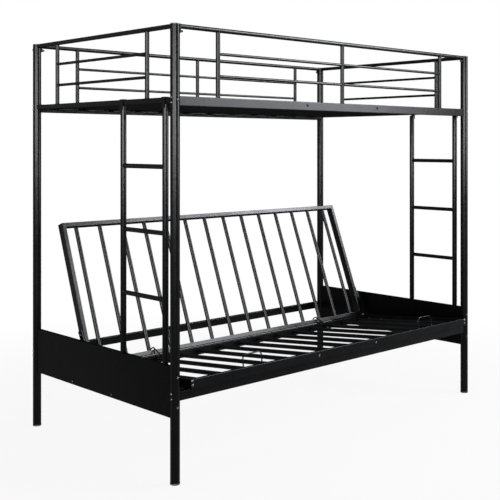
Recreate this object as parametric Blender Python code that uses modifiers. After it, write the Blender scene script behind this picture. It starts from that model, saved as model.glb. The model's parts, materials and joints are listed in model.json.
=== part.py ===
"""Twin over futon bunk bed in black painted steel tube.

Metres, +Z up, X along the length of the bed, -Y is the front.
The origin is at the bottom centre of the footprint.
"""

import math

import bmesh
import bpy
from mathutils import Matrix, Vector

# Fits.
FIT_GAP = 0.0003            # between pieces that touch
WELD_BITE = 0.004           # how far a tube runs into the tube it is welded to
MERGE_DISTANCE = 0.00001    # points of a mesh this close are one point

# Main frame.
HEIGHT = 1.780              # floor to the top of the caps
POST_X = 0.975              # post axis from the centre, along the bed
POST_Y = 0.516              # post axis from the centre, across the bed
POST_DIAMETER = 0.038
POST_WALL = 0.0015
TOP_CAP_HEIGHT = 0.004
FOOT_CAP_DIAMETER = 0.0396
FOOT_CAP_HEIGHT = 0.006
CAP_ROUND = 0.0015
PLUG_LENGTH = 0.018

# Guards and deck.
TUBE_DIAMETER = 0.019       # top tubes, rungs, futon bars
GUARD_BAR_DIAMETER = 0.0182
MID_TUBE_DIAMETER = 0.0126
TOP_TUBE_DROP = 0.0003      # top of the top tube below the top of the caps
MID_TUBE_PITCH = 0.095
SIDE_MID_PITCH = 0.090      # between the two mid tubes of a long side frame
SIDE_BAR_INSET = 0.220      # side guard bar from the post axis
END_BAR_INSET = 0.179       # end guard bar from the post axis
DECK_TUBE_HEIGHT = 0.038
GUARD_RISE = 0.281          # top of the caps above the top of the deck tube
RECT_TUBE_WIDTH = 0.019
RECT_TUBE_ROUND = 0.0022
END_DECK_DROP = 0.0035      # end deck tube below the side deck tube
END_DECK_SIDE = 0.0195
SHELF_WIDTH = 0.022
SHELF_THICKNESS = 0.0025
SHELF_END = 0.012           # shelf stops short of the post
SLAT_COUNT = 12
SLAT_INSET = 0.09115        # first slat from the post axis
SLAT_WIDTH = 0.025
SLAT_HEIGHT = 0.019
SLAT_ROUND = 0.004
TAB_WIDTH = 0.0194
TAB_DROP = 0.0004           # top of the tab below the crest of the top tube
TAB_LENGTH = 0.0356
TAB_THICKNESS = 0.003
TAB_BOLT_DROP = 0.0278      # tab bolt below the top of the top tube
BOLT_DIAMETER = 0.006
BOLT_HEAD_DIAMETER = 0.012
BOLT_HEAD_HEIGHT = 0.0034
CAP_NUT_DIAMETER = 0.011
CAP_NUT_LENGTH = 0.009

# Ladders and end panels.
STILE_DIAMETER = 0.025
STILE_INSET = 0.060         # front stile from the post axis
STILE_SPACING = 0.281
STILE_TOP_GAP = 0.003       # stile top below the end deck tube
STILE_ROUND = 0.004
RUNG_FIRST = 0.250          # first rung above the panel
RUNG_LAST = 0.252           # last rung below the end deck tube
RUNG_COUNT = 3
HOOK_THICKNESS = 0.0022
HOOK_WIDTH = 0.024
HOOK_TAIL = 0.018           # hook plate down along the stile
HOOK_LIP = 0.012
PANEL_BOTTOM = 0.253
PANEL_HEIGHT = 0.200
PANEL_THICKNESS = 0.019
PANEL_SHEET = 0.0015
PANEL_END_WALL = 0.012
PANEL_ROUND = 0.002

# Futon.
LOWER_RAIL_TOP = 0.3577
LOWER_RAIL_HEIGHT = 0.038
FUTON_END_GAP = 0.0275      # futon frames from the posts
FUTON_TUBE_DEPTH = 0.038    # square to the sleeping surface
SEAT_DEPTH = 0.6984         # hinge line to front edge
BACK_HEIGHT = 0.6626        # hinge line to top edge
HINGE_GAP = 0.003           # each frame stops this far from the hinge line
BAR_COUNT = 14
BAR_INSET = 0.0809          # first bar from the end of the frame
SEAT_TILT = math.radians(5.84)
BACK_LEAN = math.radians(69.34)
SEAT_OVERHANG = 0.0644      # front edge ahead of the shoe pin
BACK_REST_INSET = 0.007     # laid down, the top edge reaches past the rail's middle
STOP_WIRE_DIAMETER = 0.006
SEAT_STOP_INSET = 0.3385    # seat stop from the end of the frame
SEAT_STOP_WIDTH = 0.106
SEAT_STOP_HEIGHT = 0.054
SEAT_STOP_BEND = 0.018
LEFT_BACK_STOP_INSET = 0.3555   # back stops from the ends of the frame
RIGHT_BACK_STOP_INSET = 0.3855
BACK_STOP_FOOT_INSET = 0.0083   # rear foot from the back face of the bottom tube
BACK_STOP_CREST = 0.0333
BACK_STOP_REACH = 0.0657
BACK_STOP_DROP = 0.0379
BACK_STOP_TIP = 0.0090
BACK_STOP_LEG_DIAMETER = 0.0052

# Mechanism.
SHOE_DROP = 0.0127          # shoe pin below the top of the lower rail
SHOE_INSET = 0.0105         # shoe pin behind the rail
SHOE_HEIGHT = 0.01275       # pin to sliding face
SHOE_RADIUS = 0.009
SHOE_TAIL = 0.024
SHOE_TAIL_DROP = 0.0067
SHOE_PIN_DIAMETER = 0.008
BRACKET_SHEET = 0.003
BRACKET_SIDE_GAP = 0.0007
BRACKET_DEPTH = 0.0200
BRACKET_BASE_HEIGHT = 0.010
BRACKET_BASE_DROP = 0.0237  # base bottom below the pin
BRACKET_TOP = 0.0068        # cheek top above the pin
HINGE_SHEET = 0.003
HINGE_EYE_RADIUS = 0.014
HINGE_PIN_DIAMETER = 0.010
HINGE_PIN_HEAD = 0.016
HINGE_PIN_HEAD_HEIGHT = 0.0025
HINGE_PLATE_LENGTH = 0.165
HINGE_PLATE_EDGE = 0.004    # plate edge inside the tube edge
HINGE_PACKER_START = 0.020
GLIDE_DIAMETER = 0.024
GLIDE_LENGTH = 0.016
GLIDE_PIN_DIAMETER = 0.008
GLIDE_PIN_HEAD = 0.014
GLIDE_PIN_HEAD_HEIGHT = 0.002
GLIDE_STAND_OFF = 0.003
GLIDE_DROP = 0.060          # glide pin below the sleeping surface
GLIDE_BEHIND = 0.002        # glide pin behind the hinge line
GLIDE_LOBE = 0.013
TRACK_SHEET = 0.003
TRACK_WIDTH = 0.029         # from the panel to the inner edge of the running face
TRACK_RUN_OUT = 0.012       # ahead of the glide when the seat lies level
TRACK_REAR_RUN = 0.004      # behind the glide when the seat is raised to sit on
TRACK_EDGE = 0.003          # web below the lowest point of its running face
TRACK_TAIL = 0.0768         # web behind the running face
TRACK_TAIL_HEIGHT = 0.020
TRACK_FRONT_LIP = 0.006

# Counts.
ROUND_SIDES = 24
TUBE_SIDES = 16
WIRE_RESOLUTION = 2
ARC_STEPS = 6
TRACK_STEPS = 14

# Derived places.
POST_RADIUS = POST_DIAMETER / 2
TUBE_RADIUS = TUBE_DIAMETER / 2
STILE_RADIUS = STILE_DIAMETER / 2
TOP_TUBE_TOP = HEIGHT - TOP_TUBE_DROP
TOP_TUBE_Z = TOP_TUBE_TOP - TUBE_RADIUS
SIDE_BAR_X = POST_X - SIDE_BAR_INSET
END_BAR_Y = POST_Y - END_BAR_INSET
DECK_TUBE_TOP = HEIGHT - GUARD_RISE
END_DECK_TOP = DECK_TUBE_TOP - END_DECK_DROP
SLAT_PITCH = 2 * (POST_X - SLAT_INSET) / (SLAT_COUNT - 1)
STILE_FRONT_Y = -(POST_Y - STILE_INSET)
STILE_REAR_Y = STILE_FRONT_Y + STILE_SPACING
DECK_TUBE_Z = DECK_TUBE_TOP - DECK_TUBE_HEIGHT / 2
DECK_INNER_Y = POST_Y - RECT_TUBE_WIDTH / 2
END_DECK_Z = END_DECK_TOP - END_DECK_SIDE / 2
SHELF_UNDERSIDE = END_DECK_TOP - SLAT_HEIGHT - SHELF_THICKNESS
PANEL_TOP = PANEL_BOTTOM + PANEL_HEIGHT
PANEL_INNER_X = POST_X - PANEL_THICKNESS / 2
LADDER_RISE = END_DECK_TOP - END_DECK_SIDE - PANEL_TOP
RUNG_PITCH = (LADDER_RISE - RUNG_FIRST - RUNG_LAST) / (RUNG_COUNT - 1)
FUTON_HALF_LENGTH = POST_X - POST_RADIUS - FUTON_END_GAP
BAR_PITCH = 2 * (FUTON_HALF_LENGTH - BAR_INSET) / (BAR_COUNT - 1)
SEAT_STOP_X = FUTON_HALF_LENGTH - SEAT_STOP_INSET
BACK_STOP_X = {
    "left": FUTON_HALF_LENGTH - LEFT_BACK_STOP_INSET,
    "right": FUTON_HALF_LENGTH - RIGHT_BACK_STOP_INSET,
}
RAIL_INNER_Y = POST_Y - RECT_TUBE_WIDTH / 2
SIDE_MEMBER_X = FUTON_HALF_LENGTH - RECT_TUBE_WIDTH / 2
SHOE_Y = -RAIL_INNER_Y + SHOE_INSET
SHOE_Z = LOWER_RAIL_TOP - SHOE_DROP
SURFACE_OVER_SHOE = SHOE_HEIGHT + FIT_GAP + FUTON_TUBE_DEPTH
HINGE_BEHIND_SHOE = SEAT_DEPTH - SEAT_OVERHANG
SEAT_TRAVEL = SHOE_Y + HINGE_BEHIND_SHOE + BACK_HEIGHT - POST_Y - BACK_REST_INSET


def seat_point(behind_shoe, above_shoe, slid):
    """World Y and Z of a point fixed to the seat, after the seat has slid forward."""
    tilt = SEAT_TILT * (1 - slid / SEAT_TRAVEL)
    along = behind_shoe - slid
    y = SHOE_Y + along * math.cos(tilt) + above_shoe * math.sin(tilt)
    z = SHOE_Z - along * math.sin(tilt) + above_shoe * math.cos(tilt)
    return y, z


HINGE_Y, HINGE_Z = seat_point(HINGE_BEHIND_SHOE, SURFACE_OVER_SHOE, 0)

# The seat's lower front corner stands ahead of the posts, so the footprint's
# centre lies ahead of the posts' centre.
FRONT_Y = seat_point(-SEAT_OVERHANG, SHOE_HEIGHT + FIT_GAP + RECT_TUBE_ROUND, 0)[0]
FOOTPRINT_SHIFT = -(FRONT_Y + POST_Y + FOOT_CAP_DIAMETER / 2) / 2

for old in list(bpy.data.objects):
    bpy.data.objects.remove(old, do_unlink=True)


def new_collection(name, parent):
    collection = bpy.data.collections.new(name)
    parent.children.link(collection)
    return collection


bed = new_collection("futon_bunk_bed", bpy.context.scene.collection)
helpers = new_collection("weld_pieces_and_cutters", bpy.context.scene.collection)

posts_centre = bpy.data.objects.new("posts_centre", None)
posts_centre.location = (0, FOOTPRINT_SHIFT, 0)
bed.objects.link(posts_centre)


def new_material(name, colour, roughness, metallic):
    material = bpy.data.materials.new(name)
    material.use_nodes = True
    shader = material.node_tree.nodes["Principled BSDF"]
    shader.inputs["Base Color"].default_value = (*colour, 1)
    shader.inputs["Roughness"].default_value = roughness
    shader.inputs["Metallic"].default_value = metallic
    material.diffuse_color = (*colour, 1)
    return material


paint = new_material("black_paint", (0.030, 0.031, 0.034), 0.36, 0.35)
panel_paint = new_material("panel_paint", (0.020, 0.020, 0.022), 0.45, 0.30)
cap_plastic = new_material("cap_plastic", (0.012, 0.012, 0.013), 0.55, 0.0)
bolt_steel = new_material("bolt_steel", (0.35, 0.35, 0.36), 0.35, 1.0)
nylon = new_material("nylon", (0.55, 0.54, 0.50), 0.5, 0.0)


def move_to(obj, collection):
    for holder in list(obj.users_collection):
        holder.objects.unlink(obj)
    collection.objects.link(obj)


def as_part(obj, material, parent=None):
    """Name-bearing piece of the bed: collection, material and parent."""
    move_to(obj, bed)
    obj.data.materials.clear()
    obj.data.materials.append(material)
    obj.parent = parent or posts_centre
    return obj


def as_helper(obj, collection, parent=None):
    """Weld piece or cutter: kept out of the render."""
    move_to(obj, collection)
    obj.hide_render = True
    obj.display_type = "WIRE"
    obj.parent = parent or posts_centre
    return obj


def box(name, size, centre, rounding=0):
    """Box from a cube, with rounded edges."""
    bpy.ops.mesh.primitive_cube_add(size=1, location=centre)
    obj = bpy.context.object
    obj.name = name
    obj.data.transform(Matrix.Diagonal((*size, 1)))
    if rounding:
        bevel = obj.modifiers.new("rounding", "BEVEL")
        bevel.width = rounding
        bevel.segments = 1
    return obj


def cylinder(name, radius, start, end, sides, rounding=0):
    """Round bar between two points."""
    a = Vector(start)
    b = Vector(end)
    span = b - a
    bpy.ops.mesh.primitive_cylinder_add(vertices=sides, radius=radius, depth=span.length)
    obj = bpy.context.object
    obj.name = name
    obj.rotation_euler = span.to_track_quat("Z", "X").to_euler()
    obj.location = (a + b) / 2
    obj.data.shade_smooth()
    obj.data.set_sharp_from_angle(angle=math.radians(40))
    if rounding:
        bevel = obj.modifiers.new("rounding", "BEVEL")
        bevel.width = rounding
        bevel.segments = 2
        bevel.limit_method = "ANGLE"
        bevel.angle_limit = math.radians(60)
    return obj


def turned(name, profile, closed, centre, sides=ROUND_SIDES):
    """Turned piece: a profile of (radius, height) points about Z, down its outer side."""
    mesh = bpy.data.meshes.new(name)
    count = len(profile)
    edges = [(i, i + 1) for i in range(count - 1)]
    if closed:
        edges.append((count - 1, 0))
    mesh.from_pydata([(radius, 0, height) for radius, height in profile], edges, [])
    obj = bpy.data.objects.new(name, mesh)
    bpy.context.scene.collection.objects.link(obj)
    obj.location = centre
    screw = obj.modifiers.new("turn", "SCREW")
    screw.steps = sides
    screw.render_steps = sides
    screw.use_merge_vertices = True
    screw.merge_threshold = MERGE_DISTANCE
    screw.use_smooth_shade = True
    return obj


def flat_piece(name, loops, thickness, edge_round=0):
    """Flat outline with holes, in local X and Y, thickened evenly about its plane."""
    curve = bpy.data.curves.new(name, "CURVE")
    curve.dimensions = "2D"
    curve.fill_mode = "BOTH"
    curve.extrude = thickness / 2 - edge_round
    curve.bevel_depth = edge_round
    curve.bevel_resolution = 0
    curve.offset = -edge_round
    for loop in loops:
        spline = curve.splines.new("POLY")
        spline.points.add(len(loop) - 1)
        for point, (u, v) in zip(spline.points, loop):
            point.co = (u, v, 0, 1)
        spline.use_cyclic_u = True
    obj = bpy.data.objects.new(name, curve)
    bpy.context.scene.collection.objects.link(obj)
    return obj


def wire(name, points, diameter):
    """Round wire through points."""
    curve = bpy.data.curves.new(name, "CURVE")
    curve.dimensions = "3D"
    curve.bevel_depth = diameter / 2
    curve.bevel_resolution = WIRE_RESOLUTION
    curve.use_fill_caps = True
    spline = curve.splines.new("POLY")
    spline.points.add(len(points) - 1)
    for point, place in zip(spline.points, points):
        point.co = (*place, 1)
    obj = bpy.data.objects.new(name, curve)
    bpy.context.scene.collection.objects.link(obj)
    return obj


def to_mesh(obj):
    """Mesh object in the place of a curve object."""
    bpy.context.view_layer.update()
    graph = bpy.context.evaluated_depsgraph_get()
    mesh = bpy.data.meshes.new_from_object(obj.evaluated_get(graph))
    work = bmesh.new()
    work.from_mesh(mesh)
    bmesh.ops.remove_doubles(work, verts=work.verts, dist=MERGE_DISTANCE)
    bmesh.ops.recalc_face_normals(work, faces=work.faces)
    work.to_mesh(mesh)
    work.free()
    name = obj.name
    matrix = obj.matrix_world.copy()
    bpy.data.objects.remove(obj, do_unlink=True)
    solid = bpy.data.objects.new(name, mesh)
    bpy.context.scene.collection.objects.link(solid)
    solid.matrix_world = matrix
    return solid


joints = []


def weld(base, pieces, cutters, material, parent=None):
    """One welded piece: the base joined with other pieces, then cut."""
    for operation, others in (("UNION", pieces), ("DIFFERENCE", cutters)):
        if others:
            group = new_collection(f"{base.name}.{operation.lower()}", helpers)
            for other in others:
                as_helper(other, group, parent)
            joints.append((base, operation, group))
    return as_part(base, material, parent)


def arc(centre_u, centre_v, radius, start, stop, steps=ARC_STEPS):
    """Points on an arc, angles in degrees."""
    points = []
    for i in range(steps + 1):
        angle = math.radians(start + (stop - start) * i / steps)
        points.append((centre_u + radius * math.cos(angle), centre_v + radius * math.sin(angle)))
    return points


def circle(centre_u, centre_v, radius, count=TUBE_SIDES):
    return arc(centre_u, centre_v, radius, 0, 360 - 360 / count, count - 1)


def hull(points):
    """Outline of the smallest convex shape around points, anticlockwise."""
    ordered = sorted(set(points))

    def half(sequence):
        chain = []
        for p in sequence:
            while len(chain) > 1:
                (au, av), (bu, bv) = chain[-2], chain[-1]
                if (bu - au) * (p[1] - av) - (bv - av) * (p[0] - au) > 0:
                    break
                chain.pop()
            chain.append(p)
        return chain

    return half(ordered)[:-1] + half(reversed(ordered))[:-1]


def post_cutters(corners):
    """Cutters that cope a tube end to the round posts."""
    found = []
    for sx, sy in corners:
        start = (sx * POST_X, sy * POST_Y, 0)
        end = (sx * POST_X, sy * POST_Y, HEIGHT + POST_DIAMETER)
        name = "post_saddle_cutter"
        found.append(cylinder(name, POST_RADIUS + FIT_GAP, start, end, ROUND_SIDES))
    return found


# Posts and caps.
SIDES = (("left", -1), ("right", 1))
LINES = (("front", -1), ("back", 1))
TAB_BOLT_Z = TOP_TUBE_TOP - TAB_BOLT_DROP
post_bottom = FOOT_CAP_HEIGHT + FIT_GAP
post_top = HEIGHT - TOP_CAP_HEIGHT - FIT_GAP
bore = POST_RADIUS - POST_WALL
plug = bore - FIT_GAP

for side, sx in SIDES:
    for line, sy in LINES:
        place = (sx * POST_X, sy * POST_Y, 0)
        profile = [
            (bore, post_top),
            (POST_RADIUS, post_top),
            (POST_RADIUS, post_bottom),
            (bore, post_bottom),
        ]
        post = turned(f"post_{line}_{side}", profile, True, place)
        hole_start = (sx * (POST_X - POST_DIAMETER), sy * POST_Y, TAB_BOLT_Z)
        hole_end = (sx * (POST_X + POST_DIAMETER), sy * POST_Y, TAB_BOLT_Z)
        hole_radius = BOLT_DIAMETER / 2 + FIT_GAP
        hole = cylinder("tab_bolt_hole", hole_radius, hole_start, hole_end, TUBE_SIDES)
        weld(post, [], [hole], paint)

        rim = POST_RADIUS
        cap_bottom = HEIGHT - TOP_CAP_HEIGHT
        profile = [
            (0, HEIGHT),
            (rim - CAP_ROUND, HEIGHT),
            (rim, HEIGHT - CAP_ROUND),
            (rim, cap_bottom),
            (plug, cap_bottom),
            (plug, cap_bottom - PLUG_LENGTH),
            (0, cap_bottom - PLUG_LENGTH),
        ]
        cap = turned(f"top_cap_{line}_{side}", profile, False, place)
        as_part(cap, cap_plastic)

        rim = FOOT_CAP_DIAMETER / 2
        profile = [
            (0, FOOT_CAP_HEIGHT + PLUG_LENGTH),
            (plug, FOOT_CAP_HEIGHT + PLUG_LENGTH),
            (plug, FOOT_CAP_HEIGHT),
            (rim, FOOT_CAP_HEIGHT),
            (rim, CAP_ROUND),
            (rim - CAP_ROUND, 0),
            (0, 0),
        ]
        cap = turned(f"foot_cap_{line}_{side}", profile, False, place)
        as_part(cap, cap_plastic)

        head = sx * (POST_X + POST_RADIUS + FIT_GAP)
        nut = sx * (POST_X - POST_RADIUS - TAB_THICKNESS - FIT_GAP - FIT_GAP)
        tab_y = sy * POST_Y
        bolt = cylinder(
            f"guard_bolt_{line}_{side}",
            BOLT_HEAD_DIAMETER / 2,
            (head, tab_y, TAB_BOLT_Z),
            (head + sx * BOLT_HEAD_HEIGHT, tab_y, TAB_BOLT_Z),
            TUBE_SIDES,
            CAP_ROUND,
        )
        shank = cylinder(
            "bolt_shank",
            BOLT_DIAMETER / 2,
            (head + sx * BOLT_HEAD_HEIGHT / 2, tab_y, TAB_BOLT_Z),
            (nut - sx * CAP_NUT_LENGTH / 2, tab_y, TAB_BOLT_Z),
            TUBE_SIDES,
        )
        cap_nut = cylinder(
            "cap_nut",
            CAP_NUT_DIAMETER / 2,
            (nut - sx * CAP_NUT_LENGTH, tab_y, TAB_BOLT_Z),
            (nut, tab_y, TAB_BOLT_Z),
            TUBE_SIDES,
            CAP_ROUND,
        )
        weld(bolt, [shank, cap_nut], [], bolt_steel)

# Long side frames.
side_mid_heights = [
    TOP_TUBE_Z - MID_TUBE_PITCH,
    TOP_TUBE_Z - MID_TUBE_PITCH - SIDE_MID_PITCH,
]
tab_inner = POST_X - POST_RADIUS - TAB_THICKNESS - FIT_GAP
rail_end = POST_X - POST_RADIUS / 2
shelf_half = POST_X - POST_RADIUS - SHELF_END

for line, sy in LINES:
    y = sy * POST_Y
    frame = box(
        f"side_frame_{line}",
        (2 * rail_end, RECT_TUBE_WIDTH, DECK_TUBE_HEIGHT),
        (0, y, DECK_TUBE_Z),
        RECT_TUBE_ROUND,
    )
    top_end = tab_inner + TAB_THICKNESS / 2
    pieces = [
        cylinder("top_tube", TUBE_RADIUS, (-top_end, y, TOP_TUBE_Z), (top_end, y, TOP_TUBE_Z),
                 TUBE_SIDES),
    ]
    for x in (-SIDE_BAR_X, 0, SIDE_BAR_X):
        foot = (x, y, DECK_TUBE_TOP - WELD_BITE)
        pieces.append(cylinder("guard_bar", GUARD_BAR_DIAMETER / 2, foot, (x, y, TOP_TUBE_Z),
                               TUBE_SIDES))
    for z in side_mid_heights:
        pieces.append(cylinder("mid_tube", MID_TUBE_DIAMETER / 2, (-SIDE_BAR_X, y, z),
                               (SIDE_BAR_X, y, z), TUBE_SIDES))
    shelf_y = sy * (DECK_INNER_Y - SHELF_WIDTH / 2 + WELD_BITE / 2)
    pieces.append(box(
        "slat_shelf",
        (2 * shelf_half, SHELF_WIDTH + WELD_BITE, SHELF_THICKNESS),
        (0, shelf_y, SHELF_UNDERSIDE + SHELF_THICKNESS / 2),
    ))
    cutters = post_cutters([(-1, sy), (1, sy)])
    for side, sx in SIDES:
        tab_z = TOP_TUBE_TOP - TAB_DROP - TAB_LENGTH / 2
        pieces.append(box(
            "guard_tab",
            (TAB_THICKNESS + POST_RADIUS / 2, TAB_WIDTH, TAB_LENGTH),
            (sx * (tab_inner + (TAB_THICKNESS + POST_RADIUS / 2) / 2), y, tab_z),
            RECT_TUBE_ROUND / 2,
        ))
        cutters.append(cylinder(
            "tab_bolt_hole",
            BOLT_DIAMETER / 2 + FIT_GAP,
            (sx * (tab_inner - TAB_THICKNESS), y, TAB_BOLT_Z),
            (sx * POST_X, y, TAB_BOLT_Z),
            TUBE_SIDES,
        ))
    weld(frame, pieces, cutters, paint)

# End guards with the end deck tube.
end_mid_heights = [TOP_TUBE_Z - MID_TUBE_PITCH * (i + 1) for i in range(2)]
end_reach = POST_Y - POST_RADIUS / 2
for side, sx in SIDES:
    x = sx * POST_X
    frame = box(
        f"end_guard_{side}",
        (END_DECK_SIDE, 2 * end_reach, END_DECK_SIDE),
        (x, 0, END_DECK_Z),
        RECT_TUBE_ROUND,
    )
    pieces = [
        cylinder("end_top_tube", TUBE_RADIUS, (x, -end_reach, TOP_TUBE_Z),
                 (x, end_reach, TOP_TUBE_Z), TUBE_SIDES),
    ]
    for y in (-END_BAR_Y, END_BAR_Y):
        foot = (x, y, END_DECK_TOP - WELD_BITE)
        pieces.append(cylinder("end_guard_bar", GUARD_BAR_DIAMETER / 2, foot, (x, y, TOP_TUBE_Z),
                               TUBE_SIDES))
    for z in end_mid_heights:
        pieces.append(cylinder("end_mid_tube", MID_TUBE_DIAMETER / 2, (x, -END_BAR_Y, z),
                               (x, END_BAR_Y, z), TUBE_SIDES))
    weld(frame, pieces, post_cutters([(sx, -1), (sx, 1)]), paint)

# Deck slats on the shelves.
slat_length = 2 * (DECK_INNER_Y - FIT_GAP)
for i in range(SLAT_COUNT):
    x = (i - (SLAT_COUNT - 1) / 2) * SLAT_PITCH
    z = SHELF_UNDERSIDE + SHELF_THICKNESS + FIT_GAP + SLAT_HEIGHT / 2
    slat = box(f"deck_slat_{i + 1:02d}", (SLAT_WIDTH, slat_length, SLAT_HEIGHT), (x, 0, z),
               SLAT_ROUND)
    as_part(slat, paint)

# End panels, folded sheet open below.
for side, sx in SIDES:
    x = sx * POST_X
    panel = box(
        f"end_panel_{side}",
        (PANEL_THICKNESS, 2 * end_reach, PANEL_HEIGHT),
        (x, 0, PANEL_BOTTOM + PANEL_HEIGHT / 2),
        PANEL_ROUND,
    )
    cavity_half = POST_Y - POST_RADIUS - PANEL_END_WALL
    cavity = box(
        "panel_cavity",
        (PANEL_THICKNESS - 2 * PANEL_SHEET, 2 * cavity_half, PANEL_HEIGHT),
        (x, 0, PANEL_BOTTOM + PANEL_HEIGHT / 2 - PANEL_SHEET),
    )
    weld(panel, [], post_cutters([(sx, -1), (sx, 1)]) + [cavity], panel_paint)

# Ladders.
for side, sx in SIDES:
    x = sx * POST_X
    foot_z = PANEL_TOP + FIT_GAP
    stile_top = END_DECK_TOP - END_DECK_SIDE - STILE_TOP_GAP
    ladder = cylinder(
        f"ladder_{side}",
        STILE_RADIUS,
        (x, STILE_FRONT_Y, foot_z),
        (x, STILE_FRONT_Y, stile_top),
        TUBE_SIDES,
        STILE_ROUND,
    )
    pieces = [
        cylinder("rear_stile", STILE_RADIUS, (x, STILE_REAR_Y, foot_z),
                 (x, STILE_REAR_Y, stile_top), TUBE_SIDES, STILE_ROUND),
    ]
    for i in range(RUNG_COUNT):
        z = PANEL_TOP + RUNG_FIRST + RUNG_PITCH * i
        pieces.append(cylinder("rung", TUBE_RADIUS, (x, STILE_FRONT_Y, z), (x, STILE_REAR_Y, z),
                               TUBE_SIDES))
    hook_top = END_DECK_TOP + FIT_GAP + HOOK_THICKNESS
    hook_side = END_DECK_SIDE / 2 + FIT_GAP + HOOK_THICKNESS / 2
    for y in (STILE_FRONT_Y, STILE_REAR_Y):
        tall = hook_top - stile_top + HOOK_TAIL
        pieces.append(box("hook_plate", (HOOK_THICKNESS, HOOK_WIDTH, tall),
                          (x + sx * hook_side, y, hook_top - tall / 2)))
        pieces.append(box("hook_top", (2 * hook_side + HOOK_THICKNESS, HOOK_WIDTH, HOOK_THICKNESS),
                          (x, y, hook_top - HOOK_THICKNESS / 2)))
        pieces.append(box("hook_lip", (HOOK_THICKNESS, HOOK_WIDTH, HOOK_LIP),
                          (x - sx * hook_side, y, hook_top - HOOK_LIP / 2)))
    weld(ladder, pieces, [], paint)

# Lower rails.
for line, sy in LINES:
    rail = box(
        f"lower_rail_{line}",
        (2 * rail_end, RECT_TUBE_WIDTH, LOWER_RAIL_HEIGHT),
        (0, sy * POST_Y, LOWER_RAIL_TOP - LOWER_RAIL_HEIGHT / 2),
        RECT_TUBE_ROUND,
    )
    weld(rail, [], post_cutters([(-1, sy), (1, sy)]), paint)

# Shoe brackets and tilting shoes.
ACROSS = Matrix.Rotation(math.radians(90), 4, "Z") @ Matrix.Rotation(math.radians(90), 4, "X")
TILTED = Matrix.Rotation(-SEAT_TILT, 4, "X")

for side, sx in SIDES:
    x = sx * SIDE_MEMBER_X
    cheek_in = RECT_TUBE_WIDTH / 2 + BRACKET_SIDE_GAP
    cheek_height = BRACKET_BASE_DROP + BRACKET_TOP
    cheek_z = SHOE_Z - BRACKET_BASE_DROP + cheek_height / 2
    cheek_y = -RAIL_INNER_Y + FIT_GAP + BRACKET_DEPTH / 2
    cheeks = []
    for way in (-1, 1):
        cheeks.append(box(
            f"shoe_bracket_{side}",
            (BRACKET_SHEET, BRACKET_DEPTH, cheek_height),
            (x + way * (cheek_in + BRACKET_SHEET / 2), cheek_y, cheek_z),
        ))
    pin_half = cheek_in + BRACKET_SHEET
    base = box(
        "bracket_base",
        (2 * pin_half, BRACKET_SHEET, BRACKET_BASE_HEIGHT),
        (x, -RAIL_INNER_Y + FIT_GAP + BRACKET_SHEET / 2,
         SHOE_Z - BRACKET_BASE_DROP + BRACKET_BASE_HEIGHT / 2),
    )
    pin_end = pin_half + BRACKET_SIDE_GAP
    pin = cylinder("shoe_pin", SHOE_PIN_DIAMETER / 2, (x - pin_end, SHOE_Y, SHOE_Z),
                   (x + pin_end, SHOE_Y, SHOE_Z), TUBE_SIDES)
    weld(cheeks[0], [cheeks[1], base, pin], [], paint)

    axis = bpy.data.objects.new(f"shoe_axis_{side}", None)
    bed.objects.link(axis)
    axis.parent = posts_centre
    axis.location = (x, SHOE_Y, SHOE_Z)
    axis.rotation_euler = (-SEAT_TILT, 0, 0)
    outline = arc(0, 0, SHOE_RADIUS, 180, 360, 2 * ARC_STEPS)
    outline += [
        (SHOE_TAIL, SHOE_TAIL_DROP),
        (SHOE_TAIL, SHOE_HEIGHT),
        (-SHOE_RADIUS, SHOE_HEIGHT),
    ]
    pin_hole = circle(0, 0, SHOE_PIN_DIAMETER / 2 + FIT_GAP)
    shoe = flat_piece(f"front_shoe_{side}", [outline, pin_hole], RECT_TUBE_WIDTH)
    shoe.matrix_local = ACROSS
    shoe = to_mesh(shoe)
    as_part(shoe, nylon, axis)

# Ramp tracks on the end panels.
glide_behind = HINGE_BEHIND_SHOE + GLIDE_BEHIND
glide_above = SURFACE_OVER_SHOE - GLIDE_DROP


def track_points(offset):
    """Running face: the glide's path moved down by the glide's radius plus an offset."""
    points = []
    step = SEAT_TRAVEL / TRACK_STEPS
    first = -TRACK_REAR_RUN
    last = SEAT_TRAVEL + TRACK_RUN_OUT
    for i in range(TRACK_STEPS + 1):
        slid = first + (last - first) * i / TRACK_STEPS
        y, z = seat_point(glide_behind, glide_above, slid)
        ahead_y, ahead_z = seat_point(glide_behind, glide_above, slid + step / 2)
        run = math.hypot(ahead_y - y, ahead_z - z)
        down_y = -(ahead_z - z) / run
        down_z = (ahead_y - y) / run
        reach = GLIDE_DIAMETER / 2 + FIT_GAP + offset
        points.append((y + down_y * reach, z + down_z * reach))
    return points


for side, sx in SIDES:
    upper = track_points(0)
    lower = track_points(TRACK_SHEET)
    outer_x = PANEL_INNER_X - FIT_GAP
    strip_width = TRACK_WIDTH - TRACK_SHEET / 2
    strip_x = outer_x - TRACK_WIDTH + strip_width / 2
    strip = flat_piece("running_strip", [upper + lower[::-1]], strip_width)
    strip.matrix_world = Matrix.Translation((sx * strip_x, 0, 0)) @ ACROSS
    strip = to_mesh(strip)
    web_outline = track_points(TRACK_SHEET / 2)
    front_y = web_outline[-1][0]
    rear_y = web_outline[0][0]
    web_bottom = web_outline[0][1] - TRACK_EDGE
    web_outline = [
        (rear_y + TRACK_TAIL, web_bottom),
        (rear_y + TRACK_TAIL, web_bottom + TRACK_TAIL_HEIGHT),
        (rear_y + TRACK_FRONT_LIP, web_bottom + TRACK_TAIL_HEIGHT),
    ] + web_outline + [
        (front_y, web_bottom),
    ]
    web = flat_piece(f"ramp_track_{side}", [web_outline], TRACK_SHEET)
    web.matrix_world = Matrix.Translation((sx * (outer_x - TRACK_SHEET / 2), 0, 0)) @ ACROSS
    web = to_mesh(web)
    weld(web, [strip], [], paint)

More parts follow.
